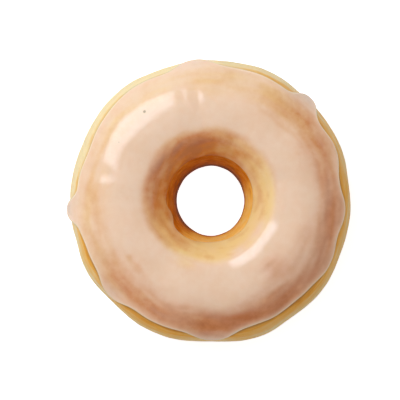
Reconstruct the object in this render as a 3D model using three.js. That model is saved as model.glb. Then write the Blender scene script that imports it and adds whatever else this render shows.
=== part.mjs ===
// An iced ring doughnut: a raised dough ring lying flat, and the icing that its top was dipped in.
//
// Millimetres, +Z up. The ring lies on z = 0 and the origin is under the middle of its outline.
// A place on the dough is given by its bearing round the ring, in degrees from +X towards +Y, and by how far
// along the section it lies, in millimetres from the outer waist, up over the crest and down into the hole.
import * as THREE from 'three';

const { degToRad, euclideanModulo, lerp, radToDeg, smoothstep } = THREE.MathUtils;

// The dough ring.
const RING_RADIUS = 45.8; // to the outer waist
const HOLE_RADIUS = 11; // at the throat, the narrowest part of the hole
const DOUGH_HEIGHT = 33;
const WAIST_HEIGHT = 15.5; // of the outer waist and of the throat
const CREST_RADIUS = 28.8;
const RIM_RADIUS = 20.5; // where the top turns over into the hole
const RIM_DROP = 1.6; // of the rim below the crest
const RIM_SLOPE = degToRad(34);
const SOLE_INNER_RADIUS = 24; // the flat ring that the dough rests on
const SOLE_OUTER_RADIUS = 33;

// How far each curve of the section keeps to its tangent at either end. The waist's is a share of the height.
const HANDLES = {
  waist: 0.55,
  crestOutwards: 9.4,
  crestInwards: 5.6,
  aboveRim: 1.3,
  belowRim: 3.4,
  aboveThroat: 7.4,
  soleInwards: 7.2,
  soleOutwards: 7.6,
};

// Swells of the outer wall, the hole and the crest: where, how wide to each side, and how far out.
const WALL_SWELLS = [
  { bearing: 7.5, spread: 7, out: -0.4 },
  { bearing: 26, spread: 9, out: 0.3 },
  { bearing: 64, spread: 10.5, out: 0.7 },
  { bearing: 130, spread: 16.5, out: 0.8 },
  { bearing: 156, spread: 5, out: -0.2 },
  { bearing: 190, spread: 6, out: 0.25 },
  { bearing: 210, spread: 11, out: 0.8 },
  { bearing: 248, spread: 16, out: 1.2 },
  { bearing: 289, spread: 13.5, out: 1.45 },
  { bearing: 321, spread: 16, out: 1 },
];
const HOLE_SWELLS = [
  { bearing: 78, spread: 33, out: 0.35 },
  { bearing: 282, spread: 45, out: 0.5 },
];
const CREST_SWELLS = [
  { bearing: 50, spread: 45, out: 0.35 },
  { bearing: 160, spread: 35, out: -0.3 },
  { bearing: 285, spread: 40, out: 0.4 },
];
const FALL_OFF = 2.5; // of every swell and run from its middle: 2 is a bell, and more is rounder

// The outer waist rises and falls round the ring.
const WAIST_WANDER = { rise: 0.8, waves: 3, phase: 1.2 };

// Shallow lumps: a few slow waves that cross at a slant, so that they never line up.
const LUMP_WAVES = [
  { round: 5, over: 2, phase: 0.4, height: 0.08 },
  { round: 8, over: -3, phase: 2.1, height: 0.08 },
  { round: 13, over: 2, phase: 4.4, height: 0.06 },
];

// The icing.
const ICING_GAP = 0.25; // between the two solids
const CREST_THICKNESS = 0.7;
const SHOULDER_THICKNESS = 0.5; // where it has run off the outer shoulder
const FUNNEL_THICKNESS = 0.35; // down in the hole
const LIP_THICKNESS = 1.05; // of the bead along its outer edge
const BEAD_WIDTH = 1.1;
const BEAD_REACH = 2; // how far in from the edge the bead still swells the icing
const INNER_BEAD_WIDTH = 0.6;
const OUTER_EDGE = 11.85; // along the section, between runs
const INNER_EDGE = 43.9;
const SHOULDER = { along: 15.5, spread: 3.6 };
const FUNNEL = { starts: 33.6, ends: 36.9 };

// Runs, where the icing has crept further: where, how wide to each side, how far. A negative one is a notch.
const OUTER_RUNS = [
  { bearing: 22, spread: 8, reach: 1.9 },
  { bearing: 42, spread: 19, reach: 1.4 },
  { bearing: 45.5, spread: 6, reach: 8.5 },
  { bearing: 82, spread: 17, reach: 2.2 },
  { bearing: 97, spread: 8.4, reach: 5.8 },
  { bearing: 121, spread: 20, reach: 2.2 },
  { bearing: 152, spread: 12, reach: 0.6 },
  { bearing: 172, spread: 9, reach: 1.6 },
  { bearing: 184, spread: 5.4, reach: 10.3 },
  { bearing: 191, spread: 7, reach: 1.3 },
  { bearing: 223, spread: 8, reach: 4.3 },
  { bearing: 248, spread: 12, reach: 0.3 },
  { bearing: 270.5, spread: 9, reach: 5 },
  { bearing: 288, spread: 9, reach: -1.4 },
  { bearing: 315, spread: 9, reach: -0.5 },
  { bearing: 333, spread: 8.4, reach: 1.5 },
  { bearing: 355, spread: 8, reach: 2.4 },
];
const INNER_RUNS = [
  { bearing: 200, spread: 11, reach: 2.2 },
  { bearing: 280, spread: 34, reach: 2.4 },
  { bearing: 350, spread: 30, reach: 1.4 },
];

// The mesh.
const DOUGH_COLUMNS = 108;
const DOUGH_ROWS = [7, 4, 6, 5, 1, 7]; // on each curve of the section
const ICING_COLUMNS = 136;
const BEAD_ROWS = 3;
const BODY_ROWS = 10;
const UNDER_ROWS = 12;
const AXIS_X = 0.55; // of the ring's own axis, from the middle of the outline

// How much of each swell is felt at a bearing, added up.
function felt(swells, bearing, amount) {
  let sum = 0;
  for (const swell of swells) {
    const away = euclideanModulo(bearing - swell.bearing + 180, 360) - 180;
    sum += swell[amount] * Math.exp(-((Math.abs(away) / swell.spread) ** FALL_OFF));
  }
  return sum;
}

// The dough's section in (radius, height), counter-clockwise from the outer waist.
function makeSection() {
  const waistRise = HANDLES.waist * (DOUGH_HEIGHT - WAIST_HEIGHT);
  const waistFall = HANDLES.waist * WAIST_HEIGHT;
  const rim = new THREE.Vector2(RIM_RADIUS, DOUGH_HEIGHT - RIM_DROP);
  const downhill = new THREE.Vector2(-Math.cos(RIM_SLOPE), -Math.sin(RIM_SLOPE));
  const aboveRim = rim.clone().addScaledVector(downhill, -HANDLES.aboveRim);
  const belowRim = rim.clone().addScaledVector(downhill, HANDLES.belowRim);
  const section = new THREE.Path();
  section.moveTo(RING_RADIUS, WAIST_HEIGHT);
  section.bezierCurveTo(RING_RADIUS, WAIST_HEIGHT + waistRise,
    CREST_RADIUS + HANDLES.crestOutwards, DOUGH_HEIGHT, CREST_RADIUS, DOUGH_HEIGHT);
  section.bezierCurveTo(CREST_RADIUS - HANDLES.crestInwards, DOUGH_HEIGHT,
    aboveRim.x, aboveRim.y, rim.x, rim.y);
  section.bezierCurveTo(belowRim.x, belowRim.y,
    HOLE_RADIUS, WAIST_HEIGHT + HANDLES.aboveThroat, HOLE_RADIUS, WAIST_HEIGHT);
  section.bezierCurveTo(HOLE_RADIUS, WAIST_HEIGHT - waistFall,
    SOLE_INNER_RADIUS - HANDLES.soleInwards, 0, SOLE_INNER_RADIUS, 0);
  section.lineTo(SOLE_OUTER_RADIUS, 0);
  section.bezierCurveTo(SOLE_OUTER_RADIUS + HANDLES.soleOutwards, 0,
    RING_RADIUS, WAIST_HEIGHT - waistFall, RING_RADIUS, WAIST_HEIGHT);
  return section;
}

const SECTION = makeSection();
const SECTION_LENGTH = SECTION.getLength();

function lump(round, along) {
  const over = (2 * Math.PI * along) / SECTION_LENGTH;
  let sum = 0;
  for (const wave of LUMP_WAVES) {
    sum += wave.height * Math.sin(wave.round * round + wave.over * over + wave.phase);
  }
  return sum;
}

// A point of the dough's surface. The wall and the hole swell sideways, the crown upwards, the sole not at all.
function doughPoint(bearing, along) {
  const { x: radius, y: height } = SECTION.getPoint(euclideanModulo(along / SECTION_LENGTH, 1));
  const wall = smoothstep(radius, CREST_RADIUS, RING_RADIUS);
  const hole = 1 - smoothstep(radius, HOLE_RADIUS, RIM_RADIUS);
  const lifted = smoothstep(height, 0, WAIST_HEIGHT);
  const crown = smoothstep(height, WAIST_HEIGHT, DOUGH_HEIGHT);
  const round = degToRad(bearing);
  const lumps = lifted * lump(round, along);
  const wander = WAIST_WANDER.rise * Math.sin(WAIST_WANDER.waves * round + WAIST_WANDER.phase);
  const r = radius + wall * (felt(WALL_SWELLS, bearing, 'out') + lumps)
    + hole * (felt(HOLE_SWELLS, bearing, 'out') - lumps);
  const z = height + crown * (felt(CREST_SWELLS, bearing, 'out') + lumps)
    + wall * lifted * (1 - crown) * wander;
  return new THREE.Vector3(AXIS_X + r * Math.cos(round), r * Math.sin(round), z);
}

// A point at a height above the dough's surface, square to it.
function raisedPoint(bearing, along, height) {
  const around = doughPoint(bearing + 0.1, along).sub(doughPoint(bearing - 0.1, along));
  const uphill = doughPoint(bearing, along + 0.05).sub(doughPoint(bearing, along - 0.05));
  return doughPoint(bearing, along).addScaledVector(around.cross(uphill).normalize(), height);
}

// Where the icing's edges lie along the section.
function outerEdge(bearing) {
  return OUTER_EDGE - felt(OUTER_RUNS, bearing, 'reach');
}

function innerEdge(bearing) {
  return INNER_EDGE + felt(INNER_RUNS, bearing, 'reach');
}

// The icing's thickness away from its edges. fromLip is how far in from the outer edge it is measured.
function icingThickness(along, fromLip) {
  const onTop = lerp(CREST_THICKNESS, FUNNEL_THICKNESS, smoothstep(along, FUNNEL.starts, FUNNEL.ends));
  const runOff = Math.exp(-(((along - SHOULDER.along) / SHOULDER.spread) ** 2));
  const thinned = onTop - (CREST_THICKNESS - SHOULDER_THICKNESS) * runOff;
  return thinned + (LIP_THICKNESS - thinned) * Math.exp(-((fromLip / BEAD_REACH) ** 2));
}

// The icing's outline at a bearing: over its top from the outer edge to the inner one, and back underneath.
function icingOutline(bearing) {
  const outer = outerEdge(bearing);
  const inner = innerEdge(bearing);
  const edgeStep = (outerEdge(bearing + 0.5) - outerEdge(bearing - 0.5)) / (degToRad(1) * RING_RADIUS);
  const slant = Math.hypot(1, edgeStep); // rows along a slanting edge keep their distance from it
  const top = [];
  const quarter = Math.PI / 2;
  for (let i = 0; i <= BEAD_ROWS; i++) {
    const turn = (quarter * i) / BEAD_ROWS;
    const fromLip = BEAD_WIDTH * (1 - Math.cos(turn));
    const along = outer + fromLip * slant;
    top.push([along, icingThickness(along, fromLip) * Math.sin(turn)]);
  }
  const bodyStart = outer + BEAD_WIDTH * slant;
  const bodyEnd = inner - INNER_BEAD_WIDTH;
  for (let i = 1; i < BODY_ROWS; i++) {
    const along = lerp(bodyStart, bodyEnd, i / BODY_ROWS);
    top.push([along, icingThickness(along, (along - outer) / slant)]);
  }
  for (let i = 0; i < BEAD_ROWS; i++) {
    const turn = quarter * (1 - i / (BEAD_ROWS - 1));
    const along = inner - INNER_BEAD_WIDTH * (1 - Math.cos(turn));
    top.push([along, icingThickness(along, along - outer) * Math.sin(turn)]);
  }
  const points = top.map(([along, thickness]) => raisedPoint(bearing, along, ICING_GAP + thickness));
  for (let i = 1; i < UNDER_ROWS; i++) {
    points.push(raisedPoint(bearing, lerp(inner, outer, i / UNDER_ROWS), ICING_GAP));
  }
  return points;
}

// The dough's outline at a bearing: its rows are evenly spaced over each curve of the section.
function doughOutline(bearing) {
  const points = [];
  let start = 0;
  SECTION.getCurveLengths().forEach((end, curve) => {
    for (let i = 0; i < DOUGH_ROWS[curve]; i++) {
      points.push(doughPoint(bearing, lerp(start, end, i / DOUGH_ROWS[curve])));
    }
    start = end;
  });
  return points;
}

// The bearings of the icing's columns, evenly spaced along its outer edge, so that they crowd at the runs.
function icingBearings() {
  const edge = [];
  for (let bearing = 0; bearing <= 360; bearing += 2) {
    edge.push(new THREE.Vector2(degToRad(bearing) * RING_RADIUS, outerEdge(bearing)));
  }
  const curve = new THREE.SplineCurve(edge);
  curve.arcLengthDivisions = 2000;
  const spaced = curve.getSpacedPoints(ICING_COLUMNS).slice(0, ICING_COLUMNS);
  return spaced.map(({ x }) => radToDeg(x / RING_RADIUS));
}

// A closed ring through an outline at each of the bearings.
function makeRing(outlineAt, bearings) {
  const outlines = bearings.map(outlineAt);
  const columns = outlines.length;
  const rows = outlines[0].length;
  const index = [];
  for (let i = 0; i < columns; i++) {
    const next = (i + 1) % columns;
    for (let j = 0; j < rows; j++) {
      const over = (j + 1) % rows;
      const [a, b, c, d] = [i * rows + j, next * rows + j, next * rows + over, i * rows + over];
      index.push(a, b, d, b, c, d);
    }
  }
  const geometry = new THREE.BufferGeometry().setFromPoints(outlines.flat());
  geometry.setIndex(index);
  geometry.computeVertexNormals();
  return geometry;
}

function makeDough() {
  const crust = new THREE.MeshStandardMaterial({ color: 0xc98a44, roughness: 0.6, metalness: 0 });
  const bearings = Array.from({ length: DOUGH_COLUMNS }, (_, i) => (360 * i) / DOUGH_COLUMNS);
  const dough = new THREE.Mesh(makeRing(doughOutline, bearings), crust);
  dough.name = 'dough';
  return dough;
}

function makeIcing() {
  const sugar = new THREE.MeshStandardMaterial({ color: 0xe9c9ad, roughness: 0.2, metalness: 0 });
  const icing = new THREE.Mesh(makeRing(icingOutline, icingBearings()), sugar);
  icing.name = 'icing';
  return icing;
}

const doughnut = new THREE.Group();
doughnut.add(makeDough(), makeIcing());

export default doughnut;
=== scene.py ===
"""An iced ring doughnut: a raised dough ring lying flat, and the pale icing that its top was dipped in.

Lengths are in millimetres until a mesh is made. A place on the dough is given by its bearing round the ring,
in degrees from +X towards +Y, and by how far along the section it lies: from the outer waist, up over the
crest and down into the hole.
"""

import bpy
import numpy as np
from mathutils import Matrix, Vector, noise


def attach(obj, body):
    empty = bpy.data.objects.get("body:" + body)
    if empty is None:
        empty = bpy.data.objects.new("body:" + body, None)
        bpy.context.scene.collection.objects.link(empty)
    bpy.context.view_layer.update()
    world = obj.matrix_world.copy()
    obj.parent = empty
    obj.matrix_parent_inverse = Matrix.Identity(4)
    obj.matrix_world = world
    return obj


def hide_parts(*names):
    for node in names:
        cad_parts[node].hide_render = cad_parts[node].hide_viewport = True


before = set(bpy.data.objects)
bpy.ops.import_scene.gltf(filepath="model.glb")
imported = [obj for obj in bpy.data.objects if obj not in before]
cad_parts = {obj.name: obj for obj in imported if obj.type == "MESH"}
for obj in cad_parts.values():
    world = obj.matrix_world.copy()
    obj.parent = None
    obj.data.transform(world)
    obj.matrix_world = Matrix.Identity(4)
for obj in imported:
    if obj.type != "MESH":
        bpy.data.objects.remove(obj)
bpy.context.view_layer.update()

MM = 0.001  # metres

# The dough ring.
RING_RADIUS = 45.8  # to the outer waist
HOLE_RADIUS = 11  # at the throat, the narrowest part of the hole
DOUGH_HEIGHT = 33
WAIST_HEIGHT = 15.5
CREST_RADIUS = 28.8
RIM_RADIUS = 20.5  # where the top turns over into the hole
RIM_DROP = 1.6
RIM_SLOPE = np.radians(34)
SOLE_INNER_RADIUS = 24
SOLE_OUTER_RADIUS = 33
AXIS_X = 0.55  # of the ring's own axis, from the middle of the outline

# How far each curve of the section keeps to its tangent at either end. The waist's is a share of the height.
WAIST_HANDLE = 0.55
CREST_HANDLES = (9.4, 5.6)  # outwards and inwards
RIM_HANDLES = (1.3, 3.4)  # above and below it
THROAT_HANDLE = 7.4
SOLE_HANDLES = (7.2, 7.6)  # inwards and outwards
CURVE_POINTS = 300

# Swells: bearing, spread to each side in degrees, and how far out, or up for those of the crest.
WALL_SWELLS = [
    (7.5, 7, -0.4),
    (26, 9, 0.3),
    (64, 10.5, 0.7),
    (130, 16.5, 0.8),
    (156, 5, -0.2),
    (190, 6, 0.25),
    (210, 11, 0.8),
    (248, 16, 1.2),
    (289, 13.5, 1.45),
    (321, 16, 1),
]
HOLE_SWELLS = [(78, 33, 0.35), (282, 45, 0.5)]
CREST_SWELLS = [(50, 45, 0.35), (160, 35, -0.3), (285, 40, 0.4)]
FALL_OFF = 2.5  # of every swell and run from its middle
WAIST_WANDER = (0.8, 3, 1.2)  # rise, waves and phase
LUMP_WAVES = [(5, 2, 0.4, 0.08), (8, -3, 2.1, 0.08), (13, 2, 4.4, 0.06)]  # round, over, phase and height
HOLE_LUMPS = 0.3  # the share of the lumps that is left inside the hole
CRUST_RELIEF = [(0.10, 7, 1), (0.05, 2.6, 2)]  # how high, how large, and seed
RELIEF_STARTS = (0.2, 3)  # the heights between which it sets in, above the flat sole
THROAT_SMOOTHED = (0.7, 8)  # how much less of it there is at the throat, and how far to either side
NORMAL_STEPS = (0.1, 0.05)  # to each side of a point, for its slope: degrees round, and along the section

# The icing.
ICING_GAP = 0.25  # that the solids keep between them, and that the icing fills here
CREST_THICKNESS = 0.7
SHOULDER_THICKNESS = 0.5
FUNNEL_THICKNESS = 0.35
LIP_THICKNESS = 1.05
BEAD_WIDTH = 1.1
BEAD_REACH = 2
INNER_BEAD_WIDTH = 0.6
OUTER_EDGE = 11.85
INNER_EDGE = 43.9
SHOULDER = (15.5, 3.6)  # along the section, and its spread
FUNNEL = (33.6, 41)  # where the icing thins on its way into the hole
ICING_WAVES = [(0.07, 9, 3), (0.03, 3.5, 4)]  # how high, how large, and seed

# Runs: bearing, spread to each side in degrees, and how far the icing has crept.
OUTER_RUNS = [
    (22, 8, 1.9),
    (42, 19, 1.4),
    (45.5, 6, 8.5),
    (82, 17, 2.2),
    (97, 8.4, 5.8),
    (121, 20, 2.2),
    (152, 12, 0.6),
    (172, 9, 1.6),
    (184, 5.4, 10.3),
    (191, 7, 1.3),
    (223, 8, 4.3),
    (248, 12, 0.3),
    (270.5, 9, 5),
    (288, 9, -1.4),
    (315, 9, -0.5),
    (333, 8.4, 1.5),
    (355, 8, 2.4),
]
INNER_RUNS = [(200, 11, 2.2), (280, 34, 2.4), (350, 30, 1.4)]

# Dents in the icing: bearing, spread, place along the section, spread along it, and depth. Where the depth is
# negative, the icing swells.
DENTS = [
    (97.5, 3, 21.5, 4, 0.16),
    (105.5, 2.5, 21, 3.5, 0.08),
    (166, 4.2, 19, 4.2, 0.27),
    (291, 4, 34.5, 1.6, -0.04),
    (306, 4, 35, 1.5, 0.04),
    (320, 42, 34.4, 2.1, 0.1),
    (321, 4, 34.3, 1.6, -0.04),
    (322, 20, 37, 2.4, -0.09),
    (335, 4, 35, 1.5, 0.04),
]

# How thin the icing is, from 0 where it hides the crust to 1 where it is a bare film. It has run thin in a
# band round the outer shoulder, but less on its sheltered side, and again on its way into the hole.
SHOULDER_FILM = (16.4, 6.0, 4.7, 0.9)  # along the section, how far it spreads down and up, and how thin
SHELTERED_SIDE = (135, 65, 0.72)  # bearing, spread, and how much less of the film
LIP_COVER = 1.6  # how far in from its edge the icing lies thick again
FUNNEL_FILM = (32.4, 1.75, 290, 3.6)  # starts along the section, give or take, latest at, and grows over
FILM_WANDER = [(0.9, 9, 5), (0.25, 4, 6)]  # of the films' edges: how far, how large, and seed

# Patches: bearing, spread, place along the section, spread along it, and how much thinner the icing is there,
# or thicker, where that is negative.
SHOULDER_PATCHES = [
    (0, 10, 19, 4, -0.22),
    (17, 22, 15.5, 3, -0.2),
    (30, 13, 22.5, 3, 0.12),
    (44, 14, 21, 3.5, 0.08),
    (59, 8, 17.5, 5, 0.2),
    (70, 6, 17, 5, -0.25),
    (91, 6, 17, 4.5, 0.14),
    (104, 5, 18, 3, -0.2),
    (145, 24, 16, 1.3, 0.2),
    (160, 9, 17, 3, -0.12),
    (176, 7, 18, 4, 0.1),
    (198, 9, 18, 4.5, -0.14),
    (215, 2.2, 24, 0.9, 0.3),
    (222, 6, 24, 2.5, 0.26),
    (226, 7, 15, 2.5, -0.16),
    (240, 5, 17, 4, -0.1),
    (254, 26, 17, 4, -0.13),
    (270, 11, 12, 3, 0.22),
    (277, 9, 22, 2, -0.18),
    (278, 34, 14, 2.4, 0.14),
    (291, 9, 19.5, 3, 0.15),
    (313, 9, 26, 3.4, 0.4),
    (320, 24, 18, 4.5, -0.14),
    (334, 12, 17.5, 4, -0.25),
    (335, 12, 23.5, 3, 0.16),
]
FUNNEL_PATCHES = [
    (42, 26, 42.5, 2.2, -0.28),
    (135, 55, 35, 1.8, -0.2),
    # Thicker icing in the next two: pale patches that stand in for soft reflections in the coat, a painted
    # reflection.
    (143, 13, 34, 1.3, -0.35),
    (150, 14, 38, 1.4, -0.25),
    (182, 12, 36, 1.6, -0.2),
    (217, 12, 43.5, 2.5, -0.3),
    (248, 8, 33.6, 1.6, 0.55),
    # Thicker icing in the next two: pale glints where the coat reflects the light, a painted reflection.
    (300, 9, 37.6, 2, -0.9),
    (327, 13, 37.8, 1.9, -0.9),
    (350, 25, 41, 2, -0.2),
]

# Streaks in the film on the shoulder, and swirls in the brown under the one in the hole: how much they change
# round the ring for each change along the section, how large they are, and seed.
STREAKS = (0.3, 1.9, 7)
STREAKS_THIN = 1.1  # how far they change how thin the film is
SWIRLS = (0.24, 2.4, 8)
SWIRLS_BROWNED = 0.34  # how far they change the brown in the hole
SWIRLS_OUTSIDE = 0.4  # the share of that which is left on the shoulder
SWIRL_WINDING = (5, 135)  # how far the swirls wind down into the hole, and where most steeply

# How browned the crust is, where 0 is pale, 0.4 golden, 0.75 amber and 1 nearly burnt.
# Painted light and shade are added to it: paler on the side towards the softbox, darker on the hole's shaded
# side, and a dark line at the throat.
WALL_BROWNED = (0.12, 0.40)  # at the waist, and under the icing's edge
WALL_TURNS = (19.5, 25.5)  # the heights between which it goes from the one to the other
EDGE_BROWNED, EDGE_REACH = 0.22, 1.7  # more just below the icing, and how far down that reaches
LIT_SIDE_PAINTED_PALE = (126, 60, 0.36)  # painted light: bearing, spread, and how much paler the wall is on the side towards the softbox
HOLE_BROWNED_AND_SHADED = (0.36, 0.72)  # on the lit side, and on the shaded side with painted shade added
HOLE_SHADED_SIDE = 127  # bearing of the hole's shaded side, where shade is painted
HOLE_SHADED_SIDE_COSINES = (-0.62, -0.02)  # of the turns from it where it starts and is full
DEEP_PAINTED_SHADE = 0.14  # painted shade, darker towards the throat on the shaded side
DEEP = (44, 53)  # the places along the section between which that builds up
THROAT_PAINTED_SHADE, THROAT_REACH = 0.75, 2.6  # painted shade: a dark line right at the throat, and how far to either side
SOLE_BROWNED = 0.7
SOLE_TURNS = (3, 15)  # the heights between which the brown of the sole goes over to the wall's

# And how dark the crust is under the icing's films: painted shade, on the sides away from the softbox.
SHADE_UNDER_SHOULDER = (305, 119, 0.97)  # on the shoulder: bearing, spread, and how dark there
SHADE_UNDER_FUNNEL = (128, 88, 0.86)  # in the hole
DEEP_SHADE_UNDER_FUNNEL = 0.12  # how much darker towards the icing's inner edge
DEEP_FUNNEL = (37, 44)  # the places along the section between which that builds up

# The crust's finish. A pattern has a scale, a detail and a roughness. Colours are linear.
CRUST_TONES = [
    (0.0, (0.95, 0.71, 0.37)),
    (0.2, (0.96, 0.565, 0.19)),
    (0.42, (0.95, 0.45, 0.07)),
    (0.75, (0.68, 0.17, 0.004)),
    (1.0, (0.28, 0.075, 0.01)),
]
ROLLS = (1.0, 4, 0.55)  # fine lines that run round the ring
ROLLS_STRETCH = (0.14, 0.14, 0.85)
ROLLS_BROWNED = (0.75, 0.5)  # how far they change how browned it is, on the wall and in the hole
ROLLS_TURN = (15.0, 40.0)  # the places along the section between which it goes from the one to the other
BLOTCHES = (110, 4, 0.6)
BLOTCHES_BROWNED = 0.4
WRINKLES = (420, 5, 0.6)
BLISTERS_SCALE = 330.0
CRUST_RAISED = 0.35  # how high its fine relief is, times what each of these patterns has
ROLLS_RAISED, WRINKLES_RAISED, BLISTERS_RAISED = 0.9, 0.5, 0.4
CRUST_ROUGHNESS = (0.42, 0.6)
LIP_SHADE_REACH = 1.15  # of the dark line below the icing's edge
LIP_SHADE_SHARE = 0.85
LIP_SHADE_COLOUR = (0.28, 0.16, 0.08)

# The icing's finish.
FILM_TONES = [(0.0, (1.0, 0.635, 0.255)), (0.8, (0.73, 0.22, 0.04)), (1.0, (0.63, 0.19, 0.055))]
SUGAR_COLOURS = [(1.0, 0.665, 0.458), (0.98, 0.62, 0.40)]
MOTTLED = (0.35, 0.65)  # the mean of its clouds and grain, where it has the one colour and the other
CLOUDS = (95, 4, 0.55)
GRAIN = (360, 4, 0.6)
CLOUDS_BROWNED, GRAIN_BROWNED = 0.7, 0.4
FILM_SHARE, FILM_CLOUDS, FILM_GRAIN = 0.55, 0.6, 0.3  # of how thin it is: plain, and as the patterns have it
RIPPLES = (120, 3, 0.45)
RIPPLES_RAISED = 0.5
ICING_ROUGHNESS = (0.2, 0.32)
LIP_PAINTED_HIGHLIGHT = (0.6, 0.45)  # painted highlight: how far in from its edge the icing is painted pale, and the reach of that
LIP_HIGHLIGHT_COLOUR = (1.0, 0.74, 0.46)
# Small pits in the icing, painted dark for the shade in them.
PITS = [(126.6, 20.4, 0.7), (147.5, 20.9, 0.4), (145.5, 21.3, 0.3)]  # bearing, place along, and radius
PIT_CORE = 0.5  # the share of its radius within which a pit is full
PIT_SHARE, PIT_ROUGHER = 0.8, 0.3
PIT_SHADE_COLOUR = (0.40, 0.30, 0.20)

CLOUDY_MEAN = 0.5
CLOUDY_SPAN = (0.3, 0.7)  # that cloudy noise mostly stays within
SOAK_DEPTH = 1.5  # how far light soaks into the crust and the icing

# The meshes.
DOUGH_COLUMNS, DOUGH_ROWS = 480, 200
ICING_COLUMNS = 640
BEAD_ROWS, BODY_ROWS, INNER_BEAD_ROWS, UNDER_ROWS = 10, 96, 6, 22
ICING_SINK = 0.05  # of its underside into the dough, so that no light passes between them
EDGE_POINTS = 3601  # at which the icing's edge is measured, to space its columns
SEED_SHIFT = (1, 2.7, 5.1)  # of the noise, for each step of a seed

# The studio.
CAMERA_HEIGHT = 2000
SEEN_WIDTH = 130.8  # across the frame, at the height of the waist
SEEN_CENTRE = (AXIS_X - 3.43, 0.16)
SENSOR_WIDTH = 36
SOFTBOX_BEARINGS = [(100, 169), (110, 159)]  # of its rim, and of where it is at its brightest
SOFTBOX_ELEVATIONS = [(18, 72), (27, 55)]
SOFTBOX_CORNERS = 0.35  # 1 would make them part of an ellipse, 0 square
SOFTBOX_POINTS = 72
SOFTBOX_DISTANCE = 1100
SOFTBOX_LIGHT = 4.0
SOFTBOX_COLOUR = (0.87, 1.0, 1.16)
FILL_FROM_SIDES, FILL_FROM_ABOVE = 0.57, 0.64
FILL_SINES = (0.7, 0.92)  # of the elevations between which the one goes over to the other
SHADE_SIDE = (303, 22)  # bearing and elevation of the darkest part of the surround
SHADE_SIDE_COSINES = (0.3, 0.95)  # of the turns from it where the shade starts and is full
SHADE_SHARE = 0.32
FLOOR_SIZE = 40  # metres
GLOW_UNDER_HOLE, GLOW_AROUND = 0.95, 0.7  # that the camera alone sees, so that the floor comes out white
GLOW_TURNS = (0.012, 0.030)  # how many metres from the axis the one goes over to the other
LIGHT_UNDER_HOLE = 0.25  # that the floor throws up into the hole
LIGHT_FADES = (0.012, 0.024)  # how many metres from the axis


# ---------------------------------------------------------------- the form


def smoothstep(x, low, high):
    t = np.clip((x - low) / (high - low), 0, 1)
    return t * t * (3 - 2 * t)


def bell(distance, spread):
    return np.exp(-((distance / spread) ** 2))


def bezier(start, handle, other_handle, end):
    t = np.linspace(0, 1, CURVE_POINTS)[:, None]
    a, b, c, d = (np.array(p, float) for p in (start, handle, other_handle, end))
    return (1 - t) ** 3 * a + 3 * (1 - t) ** 2 * t * b + 3 * (1 - t) * t**2 * c + t**3 * d


def make_section():
    """The dough's section from the outer waist: distances along it, and the points in (radius, height)."""
    waist, crest = (RING_RADIUS, WAIST_HEIGHT), (CREST_RADIUS, DOUGH_HEIGHT)
    rim, throat = np.array([RIM_RADIUS, DOUGH_HEIGHT - RIM_DROP]), (HOLE_RADIUS, WAIST_HEIGHT)
    inner_sole, outer_sole = (SOLE_INNER_RADIUS, 0), (SOLE_OUTER_RADIUS, 0)

    fall = WAIST_HANDLE * WAIST_HEIGHT
    above_waist = (RING_RADIUS, WAIST_HEIGHT + WAIST_HANDLE * (DOUGH_HEIGHT - WAIST_HEIGHT))
    below_waist = (RING_RADIUS, WAIST_HEIGHT - fall)
    outside_crest = (CREST_RADIUS + CREST_HANDLES[0], DOUGH_HEIGHT)
    inside_crest = (CREST_RADIUS - CREST_HANDLES[1], DOUGH_HEIGHT)
    downhill = np.array([-np.cos(RIM_SLOPE), -np.sin(RIM_SLOPE)])
    above_rim = rim - RIM_HANDLES[0] * downhill
    below_rim = rim + RIM_HANDLES[1] * downhill
    above_throat = (HOLE_RADIUS, WAIST_HEIGHT + THROAT_HANDLE)
    below_throat = (HOLE_RADIUS, WAIST_HEIGHT - fall)
    inside_sole = (SOLE_INNER_RADIUS - SOLE_HANDLES[0], 0)
    outside_sole = (SOLE_OUTER_RADIUS + SOLE_HANDLES[1], 0)

    curves = [
        bezier(waist, above_waist, outside_crest, crest),
        bezier(crest, inside_crest, above_rim, rim),
        bezier(rim, below_rim, above_throat, throat),
        bezier(throat, below_throat, inside_sole, inner_sole),
        np.array([inner_sole, outer_sole], float),
        bezier(outer_sole, outside_sole, below_waist, waist),
    ]
    points = np.vstack([curves[0]] + [curve[1:] for curve in curves[1:]])
    steps = np.hypot(*np.diff(points, axis=0).T)
    return np.concatenate([[0], np.cumsum(steps)]), points


SECTION_ALONG, SECTION_POINTS = make_section()
SECTION_LENGTH = SECTION_ALONG[-1]
CREST_ALONG, RIM_ALONG, THROAT_ALONG, SOLE_ALONG = (
    SECTION_ALONG[np.argmin(np.hypot(*(SECTION_POINTS - place).T))]
    for place in [
        (CREST_RADIUS, DOUGH_HEIGHT),
        (RIM_RADIUS, DOUGH_HEIGHT - RIM_DROP),
        (HOLE_RADIUS, WAIST_HEIGHT),
        (SOLE_INNER_RADIUS, 0),
    ]
)


def away(bearing, middle):
    """Degrees from one bearing to another, the short way round."""
    return (bearing - middle + 180) % 360 - 180


def hump(bearing, middle, spread, size):
    """How much of a swell or run is felt at a bearing."""
    return size * np.exp(-np.abs(away(bearing, middle) / spread) ** FALL_OFF)


def felt(swells, bearing):
    """How much of several swells or runs is felt at a bearing, added up."""
    return sum(hump(bearing, *swell) for swell in swells)


def patched(patches, bearing, along):
    """How much of several dents or patches is felt at a place, added up."""
    return sum(
        size * bell(away(bearing, middle), spread) * bell(along - place, reach)
        for middle, spread, place, reach, size in patches
    )


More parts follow.
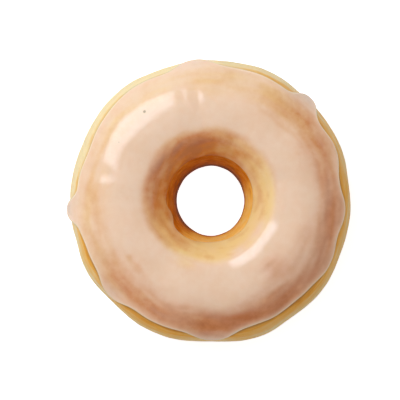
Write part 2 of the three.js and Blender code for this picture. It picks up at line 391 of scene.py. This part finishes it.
def dough_point(bearing, along):
    """Points of the dough's surface, as an array of (x, y, z)."""
    place = np.mod(along, SECTION_LENGTH)
    radius = np.interp(place, SECTION_ALONG, SECTION_POINTS[:, 0])
    height = np.interp(place, SECTION_ALONG, SECTION_POINTS[:, 1])
    wall = smoothstep(radius, CREST_RADIUS, RING_RADIUS)
    hole = 1 - smoothstep(radius, HOLE_RADIUS, RIM_RADIUS)
    lifted = smoothstep(height, 0, WAIST_HEIGHT)
    crown = smoothstep(height, WAIST_HEIGHT, DOUGH_HEIGHT)
    round_ring = np.radians(bearing)
    over = 2 * np.pi * along / SECTION_LENGTH
    lumps = lifted * sum(
        size * np.sin(turns * round_ring + climbs * over + phase)
        for turns, climbs, phase, size in LUMP_WAVES
    )
    wall_swell = felt(WALL_SWELLS, bearing) + lumps
    hole_swell = felt(HOLE_SWELLS, bearing) - HOLE_LUMPS * lumps
    r = radius + wall * wall_swell + hole * hole_swell
    z = height + crown * (felt(CREST_SWELLS, bearing) + lumps)
    rise, waves, phase = WAIST_WANDER
    z = z + wall * lifted * (1 - crown) * rise * np.sin(waves * round_ring + phase)
    return np.stack([AXIS_X + r * np.cos(round_ring), r * np.sin(round_ring), z], axis=-1)


def dough_normal(bearing, along):
    turn, climb = NORMAL_STEPS
    around = dough_point(bearing + turn, along) - dough_point(bearing - turn, along)
    uphill = dough_point(bearing, along + climb) - dough_point(bearing, along - climb)
    normal = np.cross(around, uphill)
    return normal / np.linalg.norm(normal, axis=-1, keepdims=True)


def outer_edge(bearing):
    return OUTER_EDGE - felt(OUTER_RUNS, bearing)


def inner_edge(bearing):
    return INNER_EDGE + felt(INNER_RUNS, bearing)


def icing_thickness(along, from_lip):
    on_top = CREST_THICKNESS + (FUNNEL_THICKNESS - CREST_THICKNESS) * smoothstep(along, *FUNNEL)
    middle, spread = SHOULDER
    thinned = on_top - (CREST_THICKNESS - SHOULDER_THICKNESS) * bell(along - middle, spread)
    return thinned + (LIP_THICKNESS - thinned) * bell(from_lip, BEAD_REACH)


def icing_face(bearing, along):
    """Points of the icing's upper face, well away from its lip."""
    return dough_point(bearing, along) + icing_thickness(along, np.inf) * dough_normal(bearing, along)


def ripple(points, size, seed):
    """Smooth noise from -1 to 1 at each of the points, with lumps of about the given size."""
    shift = Vector([step * seed for step in SEED_SHIFT])
    flat = points.reshape(-1, 3) / size
    values = np.fromiter((noise.noise(Vector(p) + shift) for p in flat), float, len(flat))
    return values.reshape(points.shape[:-1])


def ripples(points, layers):
    """Layers of noise added up, each as high and as large as it says."""
    return sum(height * ripple(points, size, seed) for height, size, seed in layers)


def flow_of(bearing, along):
    """Coordinates that run round the ring and along the section, for patterns that follow its form."""
    turn = np.radians(bearing)
    return np.stack([CREST_RADIUS * np.cos(turn), CREST_RADIUS * np.sin(turn), along], axis=-1)


# ---------------------------------------------------------------- what the finishes vary by


def crust_browned_with_painted_light(bearing, along, height):
    """How browned the crust is: 0 pale, 0.4 golden, 0.75 amber, 1 nearly burnt; with painted light and shade.
    """
    at_waist, at_icing = WALL_BROWNED
    wall = at_waist + (at_icing - at_waist) * smoothstep(height, *WALL_TURNS)
    # The wall is painted paler on the side towards the softbox: painted light.
    wall = wall + EDGE_BROWNED * bell(outer_edge(bearing) - along, EDGE_REACH) - hump(bearing, *LIT_SIDE_PAINTED_PALE)
    # Painted shade: the hole is darker on its shaded side, and more so towards the throat.
    dark = smoothstep(np.cos(np.radians(bearing - HOLE_SHADED_SIDE)), *HOLE_SHADED_SIDE_COSINES)
    on_bright_side, on_dark_side = HOLE_BROWNED_AND_SHADED
    hole = on_bright_side + (on_dark_side - on_bright_side) * dark
    hole = hole + DEEP_PAINTED_SHADE * dark * smoothstep(along, *DEEP)
    # A dark line painted at the throat, for the shade of the wall below it.
    hole = hole + THROAT_PAINTED_SHADE * bell(along - THROAT_ALONG, THROAT_REACH)
    browned = wall + (hole - wall) * smoothstep(along, CREST_ALONG, RIM_ALONG)
    return browned + (SOLE_BROWNED - browned) * (1 - smoothstep(height, *SOLE_TURNS))


def icing_undertone_with_painted_shade(bearing, along):
    """How browned the crust is under the films, with painted shade on shaded sides and swirls winding down
    into the hole.
    """
    # Painted shade: darker on the shoulder away from the softbox and on the hole's shaded side.
    shoulder, hole = hump(bearing, *SHADE_UNDER_SHOULDER), hump(bearing, *SHADE_UNDER_FUNNEL)
    hole = hole * (1 + DEEP_SHADE_UNDER_FUNNEL * smoothstep(along, *DEEP_FUNNEL))
    inwards = smoothstep(along, CREST_ALONG, RIM_ALONG)
    stretch, size, seed = SWIRLS
    winds, steepest = SWIRL_WINDING
    winding = along - winds * np.sin(np.radians(bearing - steepest))
    swirls = ripple(flow_of(bearing, winding) * (stretch, stretch, 1), size, seed)
    swirls = SWIRLS_BROWNED * (SWIRLS_OUTSIDE + (1 - SWIRLS_OUTSIDE) * inwards) * swirls
    return shoulder + (hole - shoulder) * inwards + swirls


def icing_thinness(bearing, along, from_lip):
    """Where the icing is only a film: 0 where it lies thick, 1 where the crust shows through it."""
    place, down, up, share = SHOULDER_FILM
    exposed = 1 - hump(bearing, *SHELTERED_SIDE)
    thin = share * bell(along - place, np.where(along < place, down, up)) * exposed
    start, give, latest, grows = FUNNEL_FILM
    start = start + give * np.cos(np.radians(bearing - latest))
    thin = thin + smoothstep(along, start, start + grows)
    thin = np.clip(thin + patched(SHOULDER_PATCHES + FUNNEL_PATCHES, bearing, along), 0, 1)
    stretch, size, seed = STREAKS
    streaks = ripple(flow_of(bearing, along) * (stretch, stretch, 1), size, seed)
    streaks = streaks * (1 - smoothstep(along, CREST_ALONG, RIM_ALONG))
    return (thin + STREAKS_THIN * thin * (1 - thin) * streaks) * (1 - bell(from_lip, LIP_COVER))


# ---------------------------------------------------------------- the finishes


class Value:
    """A socket that takes part in sums, so that a pattern is written as an expression."""

    def __init__(self, recipe, socket):
        self.recipe, self.socket = recipe, socket

    def _maths(self, operation, *terms):
        return self.recipe.node("ShaderNodeMath", {"operation": operation}, dict(enumerate(terms)))

    def __add__(self, other):
        return self._maths("ADD", self, other)

    def __radd__(self, other):
        return self._maths("ADD", other, self)

    def __sub__(self, other):
        return self._maths("SUBTRACT", self, other)

    def __rsub__(self, other):
        return self._maths("SUBTRACT", other, self)

    def __mul__(self, other):
        return self._maths("MULTIPLY", self, other)

    def __rmul__(self, other):
        return self._maths("MULTIPLY", other, self)


class Recipe:
    """The nodes of a material or world, and the one way in which they are made."""

    def __init__(self, owner):
        owner.use_nodes = True
        self.owner, self.tree = owner, owner.node_tree
        self.tree.nodes.clear()

    def node(self, kind, settings, sockets, output=0):
        """Adds a node of a kind, with its settings, and the values or links of its sockets."""
        made = self.tree.nodes.new(kind)
        for name, setting in settings.items():
            if name == "stops":
                self._set_stops(made.color_ramp, setting)
            else:
                setattr(made, name, setting)
        for name, value in sockets.items():
            if isinstance(value, Value):
                self.tree.links.new(value.socket, made.inputs[name])
            else:
                made.inputs[name].default_value = value
        return Value(self, made.outputs[output]) if made.outputs else None

    @staticmethod
    def _set_stops(ramp, stops):
        for place, colour in stops[2:]:
            ramp.elements.new(place)
        for element, (place, colour) in zip(ramp.elements, stops):
            element.position = place
            element.color = (*colour, 1)

    def mapped(self, value, low, high, to_low=0.0, to_high=1.0):
        """A value taken smoothly from one range to another."""
        sockets = {"Value": value, "From Min": low, "From Max": high, "To Min": to_low, "To Max": to_high}
        return self.node("ShaderNodeMapRange", {"interpolation_type": "SMOOTHSTEP"}, sockets)

    def mixed(self, share, colour, other):
        """One colour, going over to another as the share goes from 0 to 1."""
        return self.node("ShaderNodeMix", {"data_type": "RGBA"}, {0: share, 6: colour, 7: other}, output=2)

    def toned(self, browned, tones):
        """The colour that belongs to how browned it is."""
        return self.node("ShaderNodeValToRGB", {"stops": tones}, {"Fac": browned})

    def measured(self, title):
        """A number that the mesh holds at each of its points."""
        return self.node("ShaderNodeAttribute", {"attribute_name": title}, {}, output=2)

    def flow(self, stretch):
        """The coordinates round the ring and along the section, in millimetres times the stretch."""
        raw = self.node("ShaderNodeAttribute", {"attribute_name": "flow"}, {}, output=1)
        return self.node("ShaderNodeVectorMath", {"operation": "MULTIPLY"}, {0: raw, 1: stretch})

    def place(self):
        """The point itself, in metres."""
        return self.node("ShaderNodeTexCoord", {}, {}, output=3)

    def upwards(self, vector):
        """The last coordinate of a vector."""
        return self.node("ShaderNodeSeparateXYZ", {}, {"Vector": vector}, output=2)

    def spot(self, place, middle, radius):
        """1 in the core of a small ball, 0 outside the ball. Its middle and radius are in millimetres."""
        sockets = {0: place, 1: tuple(middle * MM)}
        distance = self.node("ShaderNodeVectorMath", {"operation": "DISTANCE"}, sockets, output=1)
        return self.mapped(distance, radius * PIT_CORE * MM, radius * MM, 1.0, 0.0)

    def cloudy(self, where, scale, detail, roughness):
        """Cloudy noise, around a half."""
        sockets = {"Vector": where, "Scale": scale, "Detail": detail, "Roughness": roughness}
        return self.node("ShaderNodeTexNoise", {}, sockets)

    def bumped(self, height, distance):
        """Normals that follow a height, where 1 stands for a distance in millimetres."""
        sockets = {"Height": height, "Distance": distance * MM, "Strength": 1.0}
        return self.node("ShaderNodeBump", {}, sockets)

    def for_camera(self):
        """1 for what the camera itself sees, 0 for what lights the pieces."""
        return self.node("ShaderNodeLightPath", {}, {})

    def finished(self, shader, output="ShaderNodeOutputMaterial"):
        """Ends in a shader, and gives back the material or world."""
        self.node(output, {}, {"Surface": shader})
        return self.owner

    def principled(self, sockets):
        """Ends in a Principled shader with these sockets, and gives back the material."""
        return self.finished(self.node("ShaderNodeBsdfPrincipled", {}, sockets))


def rgb(red, green, blue):
    """A linear colour for a socket."""
    return (red, green, blue, 1)


def swing(pattern, share):
    """Cloudy noise times a share, around nothing."""
    return (pattern - CLOUDY_MEAN) * share


def make_crust_finish():
    """Fried dough: amber in the hole and below, golden to pale on the wall, finely lined, hardly shiny. Some
    light and shade is painted in.
    """
    recipe = Recipe(bpy.data.materials.new("fried_crust"))
    place = recipe.place()
    rolls = recipe.cloudy(recipe.flow(ROLLS_STRETCH), *ROLLS)
    along = recipe.upwards(recipe.flow((1, 1, 1)))
    blotches = recipe.cloudy(place, *BLOTCHES)
    rolls_browned = recipe.mapped(along, *ROLLS_TURN, *ROLLS_BROWNED)
    # The measured tone carries painted light and shade: paler towards the softbox, darker in the hole's shade
    # and at its throat.
    browned = recipe.measured("browned") + swing(rolls, rolls_browned) + swing(blotches, BLOTCHES_BROWNED)
    baked = recipe.toned(browned, CRUST_TONES)
    colour = recipe.mixed(recipe.measured("shaded") * LIP_SHADE_SHARE, baked, rgb(*LIP_SHADE_COLOUR))
    wrinkles = recipe.cloudy(place, *WRINKLES)
    sockets = {"Vector": place, "Scale": BLISTERS_SCALE}
    blisters = recipe.node("ShaderNodeTexVoronoi", {"feature": "SMOOTH_F1"}, sockets)
    relief = wrinkles * WRINKLES_RAISED + blisters * BLISTERS_RAISED + rolls * ROLLS_RAISED
    return recipe.principled(
        {
            "Base Color": colour,
            "Roughness": recipe.mapped(blotches, *CLOUDY_SPAN, *CRUST_ROUGHNESS),
            "Specular IOR Level": 0.06,
            "Normal": recipe.bumped(relief, CRUST_RAISED),
            "Subsurface Weight": 0.1,
            "Subsurface Radius": (1.0, 0.5, 0.25),
            "Subsurface Scale": SOAK_DEPTH * MM,
        }
    )


def make_icing_finish():
    """Set sugar icing: pale pinkish cream where thick, as brown as the crust where thin, with light and shade
    painted in.
    """
    recipe = Recipe(bpy.data.materials.new("sugar_icing"))
    place = recipe.place()
    clouds = recipe.cloudy(place, *CLOUDS)
    grain = recipe.cloudy(place, *GRAIN)
    # The measured brown under the films carries painted shade on the shaded sides.
    browned = recipe.measured("browned") + swing(clouds, CLOUDS_BROWNED) + swing(grain, GRAIN_BROWNED)
    crust_below = recipe.toned(browned, FILM_TONES)
    film = recipe.measured("thin") * (FILM_SHARE + clouds * FILM_CLOUDS + grain * FILM_GRAIN)
    mottling = recipe.mapped(clouds * 0.5 + grain * 0.5, *MOTTLED)
    sugar = recipe.mixed(mottling, *(rgb(*colour) for colour in SUGAR_COLOURS))
    coated = recipe.mixed(film, sugar, crust_below)
    # A painted highlight: a pale line along the icing's edge.
    with_edge_highlight = recipe.mixed(recipe.measured("lip"), coated, rgb(*LIP_HIGHLIGHT_COLOUR))
    # Pits painted dark for the shade in them, and left without coat.
    pits = sum(recipe.spot(place, icing_face(bearing, along), radius) for bearing, along, radius in PITS)
    return recipe.principled(
        {
            "Base Color": recipe.mixed(pits * PIT_SHARE, with_edge_highlight, rgb(*PIT_SHADE_COLOUR)),
            "Roughness": recipe.mapped(clouds, *CLOUDY_SPAN, *ICING_ROUGHNESS) + pits * PIT_ROUGHER,
            "Normal": recipe.bumped(recipe.cloudy(place, *RIPPLES), RIPPLES_RAISED),
            "Specular IOR Level": 0.0,
            "Coat Weight": 1.0 - pits,
            "Coat IOR": 1.6,
            "Coat Roughness": 0.04,
            "Subsurface Weight": 0.15,
            "Subsurface Radius": (1.0, 0.55, 0.35),
            "Subsurface Scale": SOAK_DEPTH * MM,
        }
    )


def make_floor_finish():
    """A white floor that glows for the camera, and that lights the hole from below."""
    recipe = Recipe(bpy.data.materials.new("studio_floor"))
    from_axis = recipe.node("ShaderNodeVectorMath", {"operation": "LENGTH"}, {0: recipe.place()}, output=1)
    glow = recipe.mapped(from_axis, *GLOW_TURNS, GLOW_UNDER_HOLE, GLOW_AROUND)
    light = recipe.mapped(from_axis, *LIGHT_FADES, LIGHT_UNDER_HOLE, 0.0)
    return recipe.principled(
        {
            "Base Color": rgb(0.85, 0.85, 0.85),
            "Roughness": 0.9,
            "Specular IOR Level": 0.0,
            "Emission Color": rgb(1, 1, 1),
            "Emission Strength": light + recipe.for_camera() * (glow - light),
        }
    )


def make_softbox_finish():
    """Cloth that glows as brightly as the mesh says."""
    recipe = Recipe(bpy.data.materials.new("softbox_cloth"))
    strength = recipe.measured("bright") * SOFTBOX_LIGHT
    sockets = {"Color": rgb(*SOFTBOX_COLOUR), "Strength": strength}
    return recipe.finished(recipe.node("ShaderNodeEmission", {}, sockets))


# ---------------------------------------------------------------- the pieces


def shown(name, data):
    """A new object in the scene."""
    made = bpy.data.objects.new(name, data)
    bpy.context.scene.collection.objects.link(made)
    return made


def hold(mesh, title, values):
    """Lets a mesh hold a number or a vector at each of its points, for its finish to measure."""
    kind, field = ("FLOAT", "value") if values.ndim == 1 else ("FLOAT_VECTOR", "vector")
    attribute = mesh.attributes.new(title, kind, "POINT")
    attribute.data.foreach_set(field, values.astype(np.float32).ravel())


def ring_piece(name, points, **attributes):
    """A closed ring from a grid of points, where each row of the array is a bearing. Each attribute has a
    value for each point."""
    columns, rows = points.shape[:2]
    here = np.arange(columns * rows).reshape(columns, rows)
    ahead = np.roll(here, -1, axis=0)
    corners = [here, ahead, np.roll(ahead, -1, axis=1), np.roll(here, -1, axis=1)]
    faces = np.stack(corners, axis=-1).reshape(-1, 4)
    mesh = bpy.data.meshes.new(name)
    mesh.from_pydata((points.reshape(-1, 3) * MM).tolist(), [], faces.tolist())
    mesh.shade_smooth()
    for title, values in attributes.items():
        hold(mesh, title, values.reshape(columns * rows, *values.shape[2:]))
    return shown(name, mesh)


def make_dough():
    bearing = np.linspace(0, 360, DOUGH_COLUMNS, endpoint=False)[:, None]
    along = np.linspace(SOLE_ALONG - SECTION_LENGTH, SOLE_ALONG, DOUGH_ROWS, endpoint=False)[None, :]
    bearing, along = np.broadcast_arrays(bearing, along)
    points = dough_point(bearing, along)
    smoother, reach = THROAT_SMOOTHED
    rough = smoothstep(points[..., 2], *RELIEF_STARTS) * (1 - smoother * bell(along - THROAT_ALONG, reach))
    relief = rough * ripples(points, CRUST_RELIEF)
    points = points + relief[..., None] * dough_normal(bearing, along)

    dough = ring_piece(
        "dough_ring",
        points,
        # browned holds the crust's tone with its painted light and shade.
        browned=crust_browned_with_painted_light(bearing, along, points[..., 2]),
        shaded=bell(outer_edge(bearing) - along, LIP_SHADE_REACH),
        flow=flow_of(bearing, along),
    )
    dough.data.materials.append(make_crust_finish())
    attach(dough, "root")
    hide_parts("dough")


def icing_bearings():
    """The bearings of the icing's columns, evenly spaced along its outer edge: they crowd at the runs."""
    bearing = np.linspace(0, 360, EDGE_POINTS)
    steps = np.hypot(np.radians(np.diff(bearing)) * RING_RADIUS, np.diff(outer_edge(bearing)))
    travelled = np.concatenate([[0], np.cumsum(steps)])
    return np.interp(np.linspace(0, travelled[-1], ICING_COLUMNS, endpoint=False), travelled, bearing)


def icing_rows(outer, inner, slant):
    """The rows of the icing along the section: those of its top, with the share of its height that each of
    them has, which rounds it off at its edges, and those of its underside."""
    bead_turn = np.linspace(0, np.pi / 2, BEAD_ROWS + 1)[None, :]
    bead = outer + BEAD_WIDTH * (1 - np.cos(bead_turn)) * slant
    start, end = outer + BEAD_WIDTH * slant, inner - INNER_BEAD_WIDTH
    body = start + (end - start) * np.linspace(0, 1, BODY_ROWS + 1)[None, 1:-1]
    inner_turn = np.linspace(np.pi / 2, 0, INNER_BEAD_ROWS)[None, :]
    inner_bead = inner - INNER_BEAD_WIDTH * (1 - np.cos(inner_turn))
    top = np.hstack([bead, body, inner_bead])
    rounding = np.hstack([np.sin(bead_turn), np.ones((1, BODY_ROWS - 1)), np.sin(inner_turn)])
    under = inner + (outer - inner) * np.linspace(0, 1, UNDER_ROWS + 1)[None, 1:-1]
    return top, rounding, under


def make_icing():
    bearing = icing_bearings()[:, None]
    outer, inner = outer_edge(bearing), inner_edge(bearing)
    change_in_a_degree = outer_edge(bearing + 0.5) - outer_edge(bearing - 0.5)
    slant = np.hypot(1, change_in_a_degree / (np.radians(1) * RING_RADIUS))
    top, rounding, under = icing_rows(outer, inner, slant)
    top_height = (ICING_GAP + icing_thickness(top, (top - outer) / slant)) * rounding

    along = np.hstack([top, under])
    height = np.hstack([top_height, np.full(under.shape, -ICING_SINK)])
    bearing = np.broadcast_to(bearing, along.shape)
    from_lip = (along - outer) / slant
    surface, normal = dough_point(bearing, along), dough_normal(bearing, along)
    waves = ripples(surface, ICING_WAVES) - patched(DENTS, bearing, along)
    settled = np.clip(height / CREST_THICKNESS, 0, 1)
    points = surface + (height + settled * waves)[..., None] * normal
    highlight_at, highlight_reach = LIP_PAINTED_HIGHLIGHT

    icing = ring_piece(
        "icing_coat",
        points,
        thin=icing_thinness(bearing, along + ripples(surface, FILM_WANDER), from_lip),
        # browned holds the crust's brown under the films, with its painted shade.
        browned=icing_undertone_with_painted_shade(bearing, along),
        # lip holds where the painted highlight along the icing's edge lies.
        lip=bell(from_lip - highlight_at, highlight_reach) * (height > 0),
    )
    icing.data.materials.append(make_icing_finish())
    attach(icing, "root")
    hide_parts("icing")


# ---------------------------------------------------------------- the studio


def make_floor():
    half = FLOOR_SIZE / 2
    corners = [(-half, -half, 0), (half, -half, 0), (half, half, 0), (-half, half, 0)]
    mesh = bpy.data.meshes.new("floor")
    mesh.from_pydata(corners, [], [(0, 1, 2, 3)])
    mesh.materials.append(make_floor_finish())
    floor = shown("floor", mesh)


def direction(bearing, elevation):
    """A unit vector, or one for each of the bearings and elevations, which are in degrees."""
    turn, lift = np.radians(bearing), np.radians(elevation)
    return np.stack([np.cos(lift) * np.cos(turn), np.cos(lift) * np.sin(turn), np.sin(lift)], axis=-1)


def make_softbox():
    """A large softbox on one side, which fades towards its rim. Both outlines, of its rim and of its bright
    middle, are drawn in bearing and elevation, and laid on a plane."""
    turn = np.linspace(0, 2 * np.pi, SOFTBOX_POINTS, endpoint=False)
    across = np.sign(np.cos(turn)) * np.abs(np.cos(turn)) ** SOFTBOX_CORNERS
    up = np.sign(np.sin(turn)) * np.abs(np.sin(turn)) ** SOFTBOX_CORNERS
    middle = direction(np.mean(SOFTBOX_BEARINGS), np.mean(SOFTBOX_ELEVATIONS))
    corners = []
    for bearings, elevations in zip(SOFTBOX_BEARINGS, SOFTBOX_ELEVATIONS):
        rays = direction(np.interp(across, (-1, 1), bearings), np.interp(up, (-1, 1), elevations))
        corners.extend(rays / (rays @ middle)[:, None] * SOFTBOX_DISTANCE + (0, 0, DOUGH_HEIGHT))
    here = np.arange(SOFTBOX_POINTS)
    ahead = np.roll(here, -1)
    faces = np.stack([here, ahead, ahead + SOFTBOX_POINTS, here + SOFTBOX_POINTS], axis=-1).tolist()
    mesh = bpy.data.meshes.new("softbox")
    mesh.from_pydata((np.array(corners) * MM).tolist(), [], faces + [(here + SOFTBOX_POINTS).tolist()])
    hold(mesh, "bright", np.repeat([0.0, 1.0], SOFTBOX_POINTS))
    mesh.materials.append(make_softbox_finish())
    softbox = shown("softbox", mesh)
    softbox.visible_camera = False


def make_fill():
    """A white light from all round, a little more from above and less from opposite the softbox, in front of
    a white backdrop."""
    recipe = Recipe(bpy.data.worlds.new("studio"))
    towards = recipe.node("ShaderNodeTexCoord", {}, {})
    sockets = {0: towards, 1: tuple(direction(*SHADE_SIDE))}
    turned = recipe.node("ShaderNodeVectorMath", {"operation": "DOT_PRODUCT"}, sockets, output=1)
    lit = recipe.mapped(turned, *SHADE_SIDE_COSINES, 1.0, 1.0 - SHADE_SHARE)
    fill = recipe.mapped(recipe.upwards(towards), *FILL_SINES, FILL_FROM_SIDES, FILL_FROM_ABOVE) * lit
    strength = fill + recipe.for_camera() * (1.0 - fill)
    background = recipe.node("ShaderNodeBackground", {}, {"Color": rgb(1, 1, 1), "Strength": strength})
    bpy.context.scene.world = recipe.finished(background, "ShaderNodeOutputWorld")


def make_camera():
    """A long lens straight above, so that the ring shows its whole face."""
    lens = bpy.data.cameras.new("camera")
    lens.sensor_width = SENSOR_WIDTH
    lens.lens = SENSOR_WIDTH * (CAMERA_HEIGHT - WAIST_HEIGHT) / SEEN_WIDTH
    camera = shown("camera", lens)
    camera.location = Vector((*SEEN_CENTRE, CAMERA_HEIGHT)) * MM
    bpy.context.scene.camera = camera


def main():
    make_camera()
    make_floor()
    make_softbox()
    make_fill()
    make_dough()
    make_icing()
    bpy.context.scene.view_settings.view_transform = "Standard"


main()
